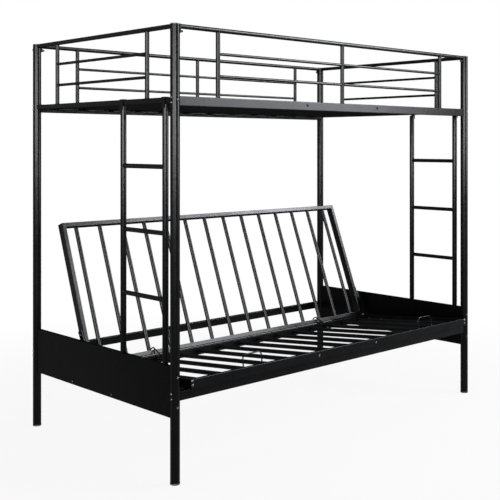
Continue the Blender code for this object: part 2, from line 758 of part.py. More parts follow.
# Futon frames.
def ring(name, near, far):
    """Rectangular frame of tube, from near to far along local Y, top face at zero."""
    half = FUTON_HALF_LENGTH
    width = RECT_TUBE_WIDTH
    outer = [(-half, near), (half, near), (half, far), (-half, far)]
    inner = [
        (-half + width, near + width),
        (half - width, near + width),
        (half - width, far - width),
        (-half + width, far - width),
    ]
    frame = flat_piece(name, [outer, inner], FUTON_TUBE_DEPTH, RECT_TUBE_ROUND)
    frame.location = (0, 0, -FUTON_TUBE_DEPTH / 2)
    return to_mesh(frame)


def bars(near, far):
    """Round bars across a futon frame, in the middle of its depth."""
    found = []
    for i in range(BAR_COUNT):
        x = (i - (BAR_COUNT - 1) / 2) * BAR_PITCH
        z = -FUTON_TUBE_DEPTH / 2
        start = (x, near + RECT_TUBE_WIDTH - WELD_BITE, z)
        end = (x, far - RECT_TUBE_WIDTH + WELD_BITE, z)
        found.append(cylinder("futon_bar", TUBE_RADIUS, start, end, TUBE_SIDES))
    return found


seat_axis = bpy.data.objects.new("seat_axis", None)
bed.objects.link(seat_axis)
seat_axis.parent = posts_centre
seat_axis.location = (0, HINGE_Y, HINGE_Z)
seat_axis.rotation_euler = (-SEAT_TILT, 0, 0)

back_axis = bpy.data.objects.new("back_axis", None)
bed.objects.link(back_axis)
back_axis.parent = posts_centre
back_axis.location = (0, HINGE_Y, HINGE_Z)
back_axis.rotation_euler = (BACK_LEAN, 0, 0)

seat_frame = ring("seat_frame", -SEAT_DEPTH, -HINGE_GAP)
weld(seat_frame, bars(-SEAT_DEPTH, -HINGE_GAP), [], paint, seat_axis)

back_frame = ring("back_frame", HINGE_GAP, BACK_HEIGHT)
weld(back_frame, bars(HINGE_GAP, BACK_HEIGHT), [], paint, back_axis)

# Wire stops of the seat.
for side, sx in SIDES:
    half = SEAT_STOP_WIDTH / 2
    bend = SEAT_STOP_BEND
    top = SEAT_STOP_HEIGHT - STOP_WIRE_DIAMETER / 2
    path = [(-half, FIT_GAP)]
    path += arc(-half + bend, top - bend, bend, 180, 90)
    path += arc(half - bend, top - bend, bend, 90, 0)
    path += [(half, FIT_GAP)]
    y = -SEAT_DEPTH + RECT_TUBE_WIDTH / 2
    points = [(sx * SEAT_STOP_X + u, y, v) for u, v in path]
    stop = to_mesh(wire(f"seat_stop_{side}", points, STOP_WIRE_DIAMETER))
    as_part(stop, paint, seat_axis)

# Wire stops of the back.
for side, sx in SIDES:
    x = sx * BACK_STOP_X[side]
    radius = STOP_WIRE_DIAMETER / 2
    rail_top = HINGE_GAP + RECT_TUBE_WIDTH
    front_wire = radius + FIT_GAP
    points = [
        (x, rail_top + FIT_GAP, -FUTON_TUBE_DEPTH + BACK_STOP_FOOT_INSET),
        (x, rail_top + radius, -FUTON_TUBE_DEPTH + BACK_STOP_FOOT_INSET),
        (x, BACK_STOP_CREST - radius, -FUTON_TUBE_DEPTH + 2 * BACK_STOP_FOOT_INSET),
        (x, BACK_STOP_CREST, front_wire - BACK_STOP_FOOT_INSET),
        (x, BACK_STOP_CREST - radius, front_wire),
        (x, -BACK_STOP_DROP, BACK_STOP_REACH),
        (x, -BACK_STOP_DROP - BACK_STOP_TIP, BACK_STOP_REACH - radius),
    ]
    stop = to_mesh(wire(f"back_stop_{side}", points, STOP_WIRE_DIAMETER))
    leg = cylinder(
        "front_leg",
        BACK_STOP_LEG_DIAMETER / 2,
        (x, HINGE_GAP + radius, front_wire),
        (x, BACK_STOP_CREST - radius, front_wire),
        TUBE_SIDES,
    )
    weld(stop, [leg], [], paint, back_axis)

# Hinge plates, glides and pins.
plate_in = FUTON_HALF_LENGTH + FIT_GAP
for side, sx in SIDES:
    eye = circle(0, 0, HINGE_EYE_RADIUS)
    eye_hole = circle(0, 0, HINGE_PIN_DIAMETER / 2 + FIT_GAP)
    low = -FUTON_TUBE_DEPTH + HINGE_PLATE_EDGE
    high = -HINGE_PLATE_EDGE
    lobe = circle(GLIDE_BEHIND, -GLIDE_DROP, GLIDE_LOBE)
    outline = hull(eye + lobe + [(-HINGE_PLATE_LENGTH, low), (-HINGE_PLATE_LENGTH, high)])
    plate = flat_piece(f"seat_hinge_plate_{side}", [outline, eye_hole], HINGE_SHEET)
    plate.matrix_local = Matrix.Translation((sx * (plate_in + HINGE_SHEET / 2), 0, 0)) @ ACROSS
    plate = to_mesh(plate)
    pin_start = plate_in + HINGE_SHEET / 2
    glide_in = plate_in + HINGE_SHEET + GLIDE_STAND_OFF + HINGE_SHEET
    glide_out = glide_in + GLIDE_LENGTH
    head_in = glide_out + FIT_GAP
    glide_pin = cylinder(
        "glide_pin",
        GLIDE_PIN_DIAMETER / 2,
        (sx * pin_start, GLIDE_BEHIND, -GLIDE_DROP),
        (sx * (head_in + GLIDE_PIN_HEAD_HEIGHT / 2), GLIDE_BEHIND, -GLIDE_DROP),
        TUBE_SIDES,
    )
    glide_head = cylinder(
        "glide_pin_head",
        GLIDE_PIN_HEAD / 2,
        (sx * head_in, GLIDE_BEHIND, -GLIDE_DROP),
        (sx * (head_in + GLIDE_PIN_HEAD_HEIGHT), GLIDE_BEHIND, -GLIDE_DROP),
        TUBE_SIDES,
    )
    collar = cylinder(
        "glide_pin_collar",
        GLIDE_PIN_HEAD / 2,
        (sx * pin_start, GLIDE_BEHIND, -GLIDE_DROP),
        (sx * (glide_in - FIT_GAP), GLIDE_BEHIND, -GLIDE_DROP),
        TUBE_SIDES,
    )
    weld(plate, [glide_pin, glide_head, collar], [], paint, seat_axis)

    ring_loops = [
        circle(0, 0, GLIDE_DIAMETER / 2, ROUND_SIDES),
        circle(0, 0, GLIDE_PIN_DIAMETER / 2 + FIT_GAP),
    ]
    glide = flat_piece(f"rear_glide_{side}", ring_loops, GLIDE_LENGTH)
    glide.matrix_local = (
        Matrix.Translation((sx * (glide_in + GLIDE_LENGTH / 2), GLIDE_BEHIND, -GLIDE_DROP)) @ ACROSS
    )
    glide = to_mesh(glide)
    as_part(glide, nylon, seat_axis)

    outline = hull(eye + [(HINGE_PLATE_LENGTH, low), (HINGE_PLATE_LENGTH, high)])
    plate = flat_piece(f"back_hinge_plate_{side}", [outline, eye_hole], HINGE_SHEET)
    outer_plate = plate_in + HINGE_SHEET + FIT_GAP
    plate.matrix_local = Matrix.Translation((sx * (outer_plate + HINGE_SHEET / 2), 0, 0)) @ ACROSS
    plate = to_mesh(plate)
    packer_outer = outer_plate + HINGE_SHEET / 2
    packer = box(
        "packer",
        (packer_outer - plate_in, HINGE_PLATE_LENGTH - HINGE_PACKER_START - HINGE_PLATE_EDGE,
         high - low - 2 * HINGE_PLATE_EDGE),
        (sx * (packer_outer + plate_in) / 2, (HINGE_PLATE_LENGTH + HINGE_PACKER_START) / 2,
         (low + high) / 2),
    )
    weld(plate, [packer], [], paint, back_axis)

    pin_out = outer_plate + HINGE_SHEET + FIT_GAP
    pin = cylinder(
        f"hinge_pin_{side}",
        HINGE_PIN_DIAMETER / 2,
        (sx * plate_in, 0, 0),
        (sx * (pin_out + HINGE_PIN_HEAD_HEIGHT / 2), 0, 0),
        TUBE_SIDES,
    )
    pin_head = cylinder(
        "hinge_pin_head",
        HINGE_PIN_HEAD / 2,
        (sx * pin_out, 0, 0),
        (sx * (pin_out + HINGE_PIN_HEAD_HEIGHT), 0, 0),
        TUBE_SIDES,
    )
    weld(pin, [pin_head], [], bolt_steel, seat_axis)

# Welds and cuts, once all stands.
for base, operation, group in joints:
    boolean = base.modifiers.new(operation.lower(), "BOOLEAN")
    boolean.operation = operation
    boolean.operand_type = "COLLECTION"
    boolean.collection = group
    boolean.solver = "EXACT"
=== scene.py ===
"""Futon bunk bed of black powder-coated steel tube, dressed for a studio picture.

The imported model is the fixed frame. Tubes, end panels, wires, caps and guard bolts are made
again as smooth surfaces with welds, and the smaller bolts are added. Hinge plates, shoe
brackets, ramp tracks, shoes, glides and hinge pins keep their solids and get a finish here.
"""

import json
import math

import bpy
import numpy as np
from mathutils import Matrix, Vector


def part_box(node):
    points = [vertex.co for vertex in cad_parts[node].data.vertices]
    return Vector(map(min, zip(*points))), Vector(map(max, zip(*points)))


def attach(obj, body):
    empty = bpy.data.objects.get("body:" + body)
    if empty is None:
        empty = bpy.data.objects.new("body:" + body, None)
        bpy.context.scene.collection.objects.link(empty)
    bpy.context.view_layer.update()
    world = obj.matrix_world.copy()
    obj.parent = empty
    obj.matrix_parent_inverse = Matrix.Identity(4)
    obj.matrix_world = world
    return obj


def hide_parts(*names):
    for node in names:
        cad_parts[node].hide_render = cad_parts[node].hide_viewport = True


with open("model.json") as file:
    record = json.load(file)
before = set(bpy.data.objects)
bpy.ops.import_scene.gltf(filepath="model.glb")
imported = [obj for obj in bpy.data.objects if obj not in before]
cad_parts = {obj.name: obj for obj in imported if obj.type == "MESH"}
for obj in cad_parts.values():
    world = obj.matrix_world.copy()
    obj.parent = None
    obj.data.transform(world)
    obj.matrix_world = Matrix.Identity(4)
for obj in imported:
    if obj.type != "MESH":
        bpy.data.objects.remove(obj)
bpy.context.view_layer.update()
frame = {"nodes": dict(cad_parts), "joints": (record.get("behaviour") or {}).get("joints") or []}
nodes = frame["nodes"]


# The four posts: one round steel tube each, 38 mm across, between its foot cap and its top
# cap. Cut square at both ends and powder-coated black like the rest of the frame, with a
# fine orange peel.

class Link:
    """A socket of a material's nodes. Arithmetic on it adds the Math nodes it stands for."""

    def __init__(self, tree, socket=None):
        self.tree = tree
        self.socket = socket

    def node(self, kind, settings, sockets, out=0):
        """Adds one node: its settings first, then the values or links of its sockets."""
        made = self.tree.nodes.new("ShaderNode" + kind)
        for name, value in settings.items():
            setattr(made, name, value)
        for name, value in sockets.items():
            if isinstance(value, Link):
                self.tree.links.new(value.socket, made.inputs[name])
            else:
                made.inputs[name].default_value = value
        return Link(self.tree, made.outputs[out])

    def maths(self, operation, first, second):
        """Adds one Math node over two values or links."""
        return self.node("Math", {"operation": operation}, {0: first, 1: second})

    def __add__(self, other):
        return self.maths("ADD", self, other)

    __radd__ = __add__

    def __sub__(self, other):
        return self.maths("SUBTRACT", self, other)

    def __rsub__(self, other):
        return self.maths("SUBTRACT", other, self)

    def __mul__(self, other):
        return self.maths("MULTIPLY", self, other)

    def between(self, low, high):
        """Smooth step: 0 below low, 1 above high."""
        return self.node("MapRange", {"interpolation_type": "SMOOTHSTEP"},
                         {"Value": self, "From Min": low, "From Max": high})


def new_finish(name, metallic, specular):
    """An empty material with one Principled shader, and a Link to build its patterns with."""
    material = bpy.data.materials.new(name)
    material.use_nodes = True
    shader = material.node_tree.nodes["Principled BSDF"]
    shader.inputs["Metallic"].default_value = metallic
    shader.inputs["Specular IOR Level"].default_value = specular
    return material, shader, Link(material.node_tree)


def feed(tree, shader, colour, rough, bump):
    """Links the three patterns of a finish to a Principled shader."""
    for name, pattern in (("Base Color", colour), ("Roughness", rough), ("Normal", bump)):
        tree.links.new(pattern.socket, shader.inputs[name])


def powder_coat(name, tones, roughness, specular, grain=820.0):
    """Baked powder: base colour drifts slowly between two blacks, roughness follows the
    same drift and a finer mottle, edges thin out and shine a little, and the height is a
    fine orange peel plus a long low waviness where the powder flowed. Where the coat is
    seen almost edge-on its gloss fades into a matt black: real paint doesn't do that, but
    the lamps would bleach it there. Tones are the dark, the light and the worn black."""
    dark, light, worn = tones
    material, shader, make = new_finish(name, 0.0, specular)
    place = make.node("TexCoord", {}, {}, out=3)
    drift = make.node("TexNoise", {}, {"Vector": place, "Scale": 5.5, "Detail": 3.0})
    mottle = make.node("TexNoise", {}, {"Vector": place, "Scale": 95.0, "Detail": 4.0,
                                        "Roughness": 0.62})
    peel = make.node("TexNoise", {}, {"Vector": place, "Scale": grain, "Detail": 2.0})
    flow = make.node("TexNoise", {}, {"Vector": place, "Scale": 46.0, "Detail": 1.0})
    specks = make.node("TexVoronoi", {}, {"Vector": place, "Scale": 260.0})
    edge = make.node("Attribute", {"attribute_name": "edge"}, {}, out=2)
    rubbed = edge.between(0.55, 1.0) * mottle.between(0.42, 0.66)
    seed = 1 - specks.between(0.0, 0.10)
    colour = make.node("Mix", {"data_type": "RGBA"}, {
        0: drift.between(0.35, 0.65) * 0.7 + mottle * 0.3,
        6: (*dark, 1), 7: (*light, 1)}, out=2)
    colour = make.node("Mix", {"data_type": "RGBA"}, {
        0: rubbed * 0.2, 6: colour, 7: (*worn, 1)}, out=2)
    rough = roughness + (drift - 0.5) * 0.16 + (mottle - 0.5) * 0.14 - rubbed * 0.04
    height = peel * 0.5 + flow * 0.3 + seed * 0.2
    bump = make.node("Bump", {}, {"Height": height, "Strength": 0.22, "Distance": 0.00045})
    matt = make.node("BsdfPrincipled", {}, {"Specular IOR Level": 0.0}).socket.node
    link = material.node_tree.links.new
    for film in (shader, matt):
        feed(material.node_tree, film, colour, rough, bump)
    slant = make.node("LayerWeight", {}, {"Blend": 0.5}, out=1)
    surface = make.node("MixShader", {}, {0: slant.between(0.42, 0.72) * 0.97})
    link(shader.outputs[0], surface.socket.node.inputs[1])
    link(matt.outputs[0], surface.socket.node.inputs[2])
    link(surface.socket, material.node_tree.nodes["Material Output"].inputs["Surface"])
    return material


class Shells:
    """Closed surfaces that together make one piece: points, faces and an edge mark per point."""

    def __init__(self):
        self.points = []
        self.faces = []
        self.marks = []
        self.count = 0

    def grid(self, points, marks=None, loop=False):
        """Adds a grid: rows along the shape, columns round it anticlockwise when one looks
        back along the rows. Quads join neighbours, and a flat face closes each end."""
        rows, columns = points.shape[:2]
        row, column = np.meshgrid(np.arange(rows if loop else rows - 1),
                                  np.arange(columns), indexing="ij")
        aside, beyond = (column + 1) % columns, (row + 1) % rows
        quads = np.stack([row * columns + column, row * columns + aside,
                          beyond * columns + aside, beyond * columns + column], -1)
        self.faces += (quads.reshape(-1, 4) + self.count).tolist()
        if not loop:
            ring = np.arange(columns) + self.count
            self.faces.append(ring[::-1].tolist())
            self.faces.append((ring + (rows - 1) * columns).tolist())
        self.points.append(points.reshape(-1, 3))
        marks = np.zeros(columns) if marks is None else marks
        self.marks.append(np.broadcast_to(marks, (rows, columns)).reshape(-1))
        self.count += rows * columns

    def piece(self, name, body, slot, finish, stands_for=(), sharp=38):
        """Makes the mesh, smooth but for its sharp edges, and hangs it on its body."""
        mesh = bpy.data.meshes.new(name)
        mesh.from_pydata(np.concatenate(self.points).tolist(), [], self.faces)
        attribute = mesh.attributes.new("edge", "FLOAT", "POINT")
        attribute.data.foreach_set("value", np.concatenate(self.marks))
        mesh.shade_smooth()
        mesh.set_sharp_from_angle(angle=math.radians(sharp))
        mesh.materials.append(finish)
        made = bpy.data.objects.new(name, mesh)
        bpy.context.scene.collection.objects.link(made)
        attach(made, body)
        if stands_for:
            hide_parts(*stands_for)
        return made


def unit(vector):
    vector = np.asarray(vector, float)
    return vector / np.linalg.norm(vector)


def beside(axis):
    """A unit vector square to an axis: the axis crossed with the world axis it leans on least."""
    axis = unit(axis)
    return unit(np.cross(axis, np.eye(3)[np.argmin(np.abs(axis))]))


def turned(shells, profile, place, axis, sides=32, hexed=None):
    """Surface of revolution: place + height * axis + radius * (cos turn, sin turn). A row's
    hexed share bends its circle into a hexagon, radius / cos of the angle from a flat."""
    radius, height = np.array(profile, float).T
    axis = unit(axis)
    across = beside(axis)
    along = np.cross(axis, across)
    turn = np.arange(sides) * 2 * math.pi / sides
    six = math.cos(math.pi / 6) / np.cos((turn + 1e-9) % (math.pi / 3) - math.pi / 6)
    share = np.zeros(len(radius)) if hexed is None else np.array(hexed, float)
    reach = radius[:, None] * (1 + share[:, None] * (six - 1)[None, :])
    points = (np.asarray(place, float) + height[:, None, None] * axis
              + (reach * np.cos(turn))[..., None] * across
              + (reach * np.sin(turn))[..., None] * along)
    shells.grid(points)


def round_tube(shells, start, end, radius, sides=28, rounding=0.0):
    """Round tube between two points: circles at its ends, drawn in a little where rounded."""
    start, end = np.asarray(start, float), np.asarray(end, float)
    length = float(np.linalg.norm(end - start))
    if rounding:
        bend = np.linspace(0, math.pi / 2, 5)
        near = [(radius - rounding * (1 - math.sin(b)), rounding * (1 - math.cos(b)))
                for b in bend]
        profile = near + [(r, length - h) for r, h in near[::-1]]
    else:
        profile = [(radius, 0), (radius, length)]
    turned(shells, profile, start, end - start, sides)


def middle(node):
    """Centre of a node's box."""
    low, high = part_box(node)
    return (np.array(low) + np.array(high)) / 2


FRAME_TONES = ((0.0034, 0.0035, 0.0039), (0.0056, 0.0058, 0.0066), (0.017, 0.0175, 0.019))
steel_black = powder_coat("black_powder_coat", FRAME_TONES, 0.24, 0.05)
POST_RADIUS, POST_ROUND = 0.019, 0.0006
post_front, post_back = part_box("post_front_left"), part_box("post_back_right")
POST_X = (post_back[0].x + post_back[1].x) / 2
CENTRE_Y = (post_front[0].y + post_back[1].y) / 2
POST_Y = post_back[1].y - POST_RADIUS - CENTRE_Y
SIDES = (("left", -1), ("right", 1))
LINES = (("front", -1), ("back", 1))
for side, sx in SIDES:
    for line, sy in LINES:
        low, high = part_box(f"post_{line}_{side}")
        x, y, _ = middle(f"post_{line}_{side}")
        post = Shells()
        round_tube(post, (x, y, low.z), (x, y, high.z), POST_RADIUS, 48, POST_ROUND)
        post.piece(f"post_tube_{line}_{side}", "bed", "black_paint", steel_black,
                   [f"post_{line}_{side}"])


# Top and foot caps: injection-moulded black plastic plugs pressed into the tube ends.
# The top caps are flat with a small rounded rim and a faint gate mark, and the foot caps
# have a flange that the post stands on. Both show the matte grain of the mould.

def moulded_plastic(name, colour, roughness, grain):
    """Moulded plastic: a fine spark-eroded grain in height and roughness, and a soft cloud
    between the colour and a lighter one."""
    material, shader, make = new_finish(name, 0.0, 0.35)
    place = make.node("TexCoord", {}, {}, out=3)
    pits = make.node("TexNoise", {}, {"Vector": place, "Scale": grain, "Detail": 3.0})
    cloud = make.node("TexNoise", {}, {"Vector": place, "Scale": 60.0, "Detail": 2.0})
    tone = make.node("Mix", {"data_type": "RGBA"}, {
        0: cloud, 6: (*colour, 1), 7: (*(c * 1.7 for c in colour), 1)}, out=2)
    bump = make.node("Bump", {}, {"Height": pits, "Strength": 0.35, "Distance": 0.0003})
    feed(material.node_tree, shader, tone, roughness + (pits - 0.5) * 0.2, bump)
    return material


cap_black = moulded_plastic("moulded_cap_black", (0.0045, 0.0045, 0.0048), 0.50, 1500.0)

# Outlines of the caps from below to above: radius, and height from the bed's top or floor.
TOP_CAP_ROWS = [
    (0.0168, -0.022), (0.0172, -0.0045), (0.0186, -0.0040), (0.0190, -0.0035),
    (0.0190, -0.0016), (0.0187, -0.0008), (0.0180, -0.0003), (0.0170, -0.0001),
    (0.0080, 0.0), (0.0022, 0.0), (0.0020, -0.0003),
]
FOOT_CAP_ROWS = [
    (0.0150, 0.0), (0.0184, 0.0), (0.0191, 0.0003), (0.0196, 0.0010),
    (0.0198, 0.0020), (0.0198, 0.0050), (0.0196, 0.0057), (0.0192, 0.0060),
    (0.0171, 0.0061), (0.0170, 0.0230), (0.0160, 0.0240),
]
for side, _ in SIDES:
    for line, _ in LINES:
        x, y, _ = middle(f"top_cap_{line}_{side}")
        cap = Shells()
        turned(cap, TOP_CAP_ROWS, (x, y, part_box(f"top_cap_{line}_{side}")[1].z), (0, 0, 1), 48)
        cap.piece(f"cap_top_{line}_{side}", "bed", "cap_plastic", cap_black,
                  [f"top_cap_{line}_{side}"])
        x, y, _ = middle(f"foot_cap_{line}_{side}")
        foot = Shells()
        turned(foot, FOOT_CAP_ROWS, (x, y, 0.0), (0, 0, 1), 48)
        foot.piece(f"cap_foot_{line}_{side}", "bed", "cap_plastic", cap_black,
                   [f"foot_cap_{line}_{side}"])


# Long side frames: a rectangular deck tube with three uprights, two thin mid tubes and a
# round top tube, welded all round and coated in one piece. A strip inside the deck tube
# carries the slats, and a small tab at each end of the top tube takes the guard bolt.

def circle(radius, sides):
    """Points of a circle about the origin, anticlockwise."""
    turn = np.linspace(0, 2 * math.pi, sides, endpoint=False)
    return np.stack([np.cos(turn) * radius, np.sin(turn) * radius], 1)


def box_profile(width, height, corner, steps=4):
    """Rectangle with quarter-round corners, anticlockwise, and one more point on each flat
    just past every corner. Edge marks are 1 on the quarter circles and 0 on those points."""
    step = np.linspace(0, math.pi / 2, steps + 1)
    inset = corner * 1.6
    points, marks = [], []
    for quarter in range(4):
        cx = (width / 2 - corner) * (1, -1, -1, 1)[quarter]
        cy = (height / 2 - corner) * (1, 1, -1, -1)[quarter]
        start = quarter * math.pi / 2
        arc = np.stack([cx + corner * np.cos(start + step), cy + corner * np.sin(start + step)], 1)
        before = arc[0] + (inset - corner) * np.array([math.sin(start), -math.cos(start)])
        after = arc[-1] + (inset - corner) * np.array([-math.cos(start), -math.sin(start)])
        points += [before[None], arc, after[None]]
        marks += [0.0] + [1.0] * (steps + 1) + [0.0]
    return np.concatenate(points), np.array(marks)


def carried(shells, profile, marks, path, across):
    """A closed profile carried along a path: path + u * across-vector + v * across, where the
    first is across x tangent. Tangents are central differences along the path."""
    path = np.asarray(path, float)
    tangent = np.gradient(path, axis=0)
    tangent /= np.linalg.norm(tangent, axis=1)[:, None]
    across = unit(across)
    sideways = np.cross(across, tangent)
    sideways /= np.linalg.norm(sideways, axis=1)[:, None]
    points = (path[:, None] + profile[None, :, :1] * sideways[:, None]
              + profile[None, :, 1:] * across)
    shells.grid(points, marks)


def box_tube(shells, start, end, width, height, corner=0.0022, up=(0, 0, 1)):
    """Rectangular tube between two points: height runs along up."""
    profile, marks = box_profile(width, height, corner)
    carried(shells, profile, marks, [start, end], up)


def weld(shells, centre, axis, radius, stand=0.0, saddle=0.0, run=(1, 0, 0), bead=0.0016):
    """Weld bead round a branch tube: a ring tube whose centre line is radius * (cos, sin)
    about the axis, lifted by stand, or by the root of saddle^2 - (radius * sin)^2 where the
    branch meets a round tube that runs along run. The bead swells in even ripples."""
    axis = unit(axis)
    run = unit(np.asarray(run, float) - axis * np.dot(run, axis))
    over = np.cross(axis, run)
    turn = np.linspace(0, 2 * math.pi, 36, endpoint=False)
    fill = np.linspace(0, 2 * math.pi, 6, endpoint=False)
    out = np.cos(turn)[:, None] * run + np.sin(turn)[:, None] * over
    lift = np.full(36, stand)
    if saddle:
        lift = np.sqrt(np.maximum(saddle ** 2 - (radius * np.sin(turn)) ** 2, 0.0))
    ring = np.asarray(centre, float) + radius * out + lift[:, None] * axis
    size = bead * (1 + 0.16 * np.cos(9 * turn))[:, None, None]
    points = (ring[:, None] + size * (np.cos(fill)[None, :, None] * out[:, None]
                                      - np.sin(fill)[None, :, None] * axis))
    shells.grid(points, loop=True)


# Radii of top tubes, uprights and mid tubes, and how far a tube runs on into another.
TUBE, BAR, MID = 0.0095, 0.0091, 0.0063
BITE = 0.003
TOP_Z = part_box("side_frame_front")[1].z - TUBE
DECK_TOP, DECK_TALL, DECK_WIDE = 1.499, 0.038, 0.019
BAR_X, SIDE_MID_DROPS = 0.755, (0.095, 0.185)
# Beads of mid tubes and of top tube ends, and the radius that the latter run round.
MID_BEAD, TIP_BEAD, TIP_WELD = 0.0013, 0.0012, TUBE - 0.0014
TAB_GAP, TAB_THICK, TAB_TALL, TAB_CORNER = 0.0018, 0.0030, 0.036, 0.0030
SHELF_HALF, SHELF_INSET, SHELF_Z = 0.944, 0.009, 1.47525
SHELF_WIDE, SHELF_THICK, SHELF_CORNER = 0.026, 0.0025, 0.0008
STITCH_COUNT, STITCH_SPAN, STITCH_HALF = 11, 0.86, 0.016
STITCH_RADIUS, STITCH_INSET, STITCH_Z = 0.0016, 0.0004, 1.4733
for line, sy in LINES:
    y = CENTRE_Y + sy * POST_Y
    guard = Shells()
    box_tube(guard, (-POST_X, y, DECK_TOP - DECK_TALL / 2), (POST_X, y, DECK_TOP - DECK_TALL / 2),
             DECK_WIDE, DECK_TALL)
    tab_x = POST_X - POST_RADIUS - TAB_GAP
    tab_z = TOP_Z + TUBE - TAB_TALL / 2
    round_tube(guard, (-tab_x, y, TOP_Z), (tab_x, y, TOP_Z), TUBE)
    for sx in (-1, 1):
        box_tube(guard, (sx * tab_x - TAB_THICK / 2, y, tab_z),
                 (sx * tab_x + TAB_THICK / 2, y, tab_z), DECK_WIDE, TAB_TALL, TAB_CORNER)
        weld(guard, (sx * (tab_x - TAB_THICK / 2), y, TOP_Z), (-sx, 0, 0), TIP_WELD,
             bead=TIP_BEAD)
    for x in (-BAR_X, 0.0, BAR_X):
        round_tube(guard, (x, y, DECK_TOP - BITE), (x, y, TOP_Z), BAR)
        weld(guard, (x, y, DECK_TOP), (0, 0, 1), BAR)
        weld(guard, (x, y, TOP_Z), (0, 0, -1), BAR, saddle=TUBE)
    for drop in SIDE_MID_DROPS:
        z = TOP_Z - drop
        round_tube(guard, (-BAR_X, y, z), (BAR_X, y, z), MID, 20)
        for x, way in ((-BAR_X, 1), (0, -1), (0, 1), (BAR_X, -1)):
            weld(guard, (x, y, z), (way, 0, 0), MID, saddle=BAR, run=(0, 0, 1), bead=MID_BEAD)
    shelf_y = y - sy * (DECK_WIDE / 2 + SHELF_INSET)
    box_tube(guard, (-SHELF_HALF, shelf_y, SHELF_Z), (SHELF_HALF, shelf_y, SHELF_Z),
             SHELF_WIDE, SHELF_THICK, SHELF_CORNER)
    stitch_y = y - sy * (DECK_WIDE / 2 + STITCH_INSET)
    for x in np.linspace(-STITCH_SPAN, STITCH_SPAN, STITCH_COUNT):
        path = [(x - STITCH_HALF, stitch_y, STITCH_Z), (x + STITCH_HALF, stitch_y, STITCH_Z)]
        carried(guard, circle(STITCH_RADIUS, 8), None, path, (0, 0, 1))
    guard.piece(f"guard_{line}", "bed", "black_paint", steel_black, [f"side_frame_{line}"])


# End guards: the same tubes across each end of the bunk, on a square deck end tube. Coped to
# the posts on the real bed, the tubes run on into them here.

BAR_Y, END_SIDE, END_TOP = 0.337, 0.0195, 1.4955
END_MID_DROPS, COPE = (0.095, 0.190), 0.010
for side, sx in SIDES:
    x = sx * POST_X
    guard = Shells()
    reach = POST_Y - COPE
    box_tube(guard, (x, CENTRE_Y - reach, END_TOP - END_SIDE / 2),
             (x, CENTRE_Y + reach, END_TOP - END_SIDE / 2), END_SIDE, END_SIDE)
    round_tube(guard, (x, CENTRE_Y - reach, TOP_Z), (x, CENTRE_Y + reach, TOP_Z), TUBE)
    for sy in (-1, 1):
        y = CENTRE_Y + sy * POST_Y
        weld(guard, (x, y, TOP_Z), (0, -sy, 0), TIP_WELD, saddle=POST_RADIUS, run=(0, 0, 1),
             bead=TIP_BEAD)
        y = CENTRE_Y + sy * BAR_Y
        round_tube(guard, (x, y, END_TOP - BITE), (x, y, TOP_Z), BAR)
        weld(guard, (x, y, END_TOP), (0, 0, 1), BAR)
        weld(guard, (x, y, TOP_Z), (0, 0, -1), BAR, saddle=TUBE, run=(0, 1, 0))
    for drop in END_MID_DROPS:
        z = TOP_Z - drop
        round_tube(guard, (x, CENTRE_Y - BAR_Y, z), (x, CENTRE_Y + BAR_Y, z), MID, 20)
        for sy in (-1, 1):
            weld(guard, (x, CENTRE_Y + sy * BAR_Y, z), (0, -sy, 0), MID, saddle=BAR,
                 run=(0, 0, 1), bead=MID_BEAD)
    guard.piece(f"guard_end_{side}", "bed", "black_paint", steel_black, [f"end_guard_{side}"])


# Twelve deck slats: rectangular steel tube laid across on the two shelf strips. Two of them
# are held by a bolt through the deck tube at each end. The coat is rougher than the frame's.

slat_black = powder_coat("slat_powder_coat", FRAME_TONES, 0.46, 0.03, 760.0)
SLAT_COUNT, SLAT_CORNER = 12, 0.0040
for number in range(1, SLAT_COUNT + 1):
    node = f"deck_slat_{number:02d}"
    low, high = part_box(node)
    x, _, z = middle(node)
    slat = Shells()
    box_tube(slat, (x, low.y, z), (x, high.y, z), high.x - low.x, high.z - low.z, SLAT_CORNER)
    slat.piece(f"slat_{number:02d}", "bed", "black_paint", slat_black, [node])


# Ladders: two round stiles and three rungs at each end, standing on the end panel and
# hung over the deck end tube by bent hook plates welded to the stiles.

